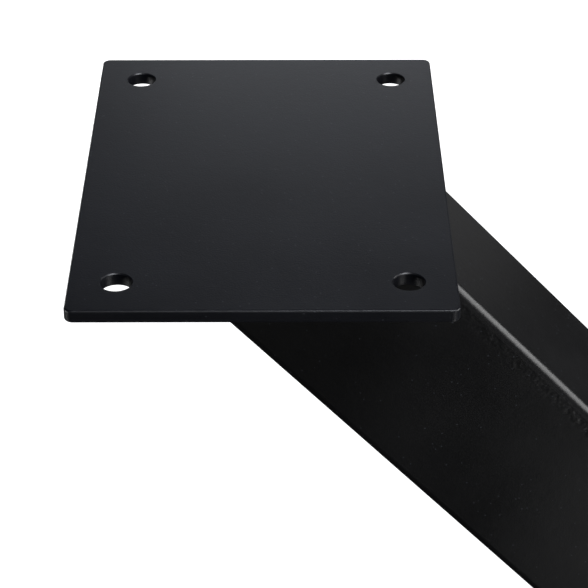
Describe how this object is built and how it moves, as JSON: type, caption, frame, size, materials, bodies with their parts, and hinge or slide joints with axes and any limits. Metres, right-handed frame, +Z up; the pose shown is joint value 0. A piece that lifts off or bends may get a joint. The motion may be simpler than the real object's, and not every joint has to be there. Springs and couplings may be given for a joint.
{
  "type": "cross table leg",
  "caption": "Black powder-coated cross-shaped steel table leg of square box tube, with a flat drilled mounting plate on top of each arm and closed feet on plastic glides.",
  "frame": {"origin": "on the floor under the middle of the leg, the bottom centre of the whole leg's box", "axes": "+X along the leg's width from the left mounting plate to the right one, +Y through its depth, +Z up"},
  "size_m": [0.77, 0.155, 0.72],
  "materials": {
    "plate_coat": "fine matte black powder coat on flat steel",
    "arm_coat": "fine satin black powder coat on box tube",
    "weld_coat": "black powder coat over a rippled weld bead",
    "glide_plastic": "moulded black polyethylene"
  },
  "bodies": {
    "root": {"through_arm": "arm_coat", "upper_half_arm": "arm_coat", "lower_half_arm": "arm_coat", "mounting_plate_left": "plate_coat", "mounting_plate_right": "plate_coat", "foot_plate_left": "plate_coat", "foot_plate_right": "plate_coat", "top_weld_left": "weld_coat", "top_weld_right": "weld_coat", "foot_weld_left": "weld_coat", "foot_weld_right": "weld_coat", "crossing_weld_upper": "weld_coat", "crossing_weld_lower": "weld_coat", "glide_left_1": "glide_plastic", "glide_left_2": "glide_plastic", "glide_left_3": "glide_plastic", "glide_left_4": "glide_plastic", "glide_right_1": "glide_plastic", "glide_right_2": "glide_plastic", "glide_right_3": "glide_plastic", "glide_right_4": "glide_plastic"}
  },
  "joints": []
}
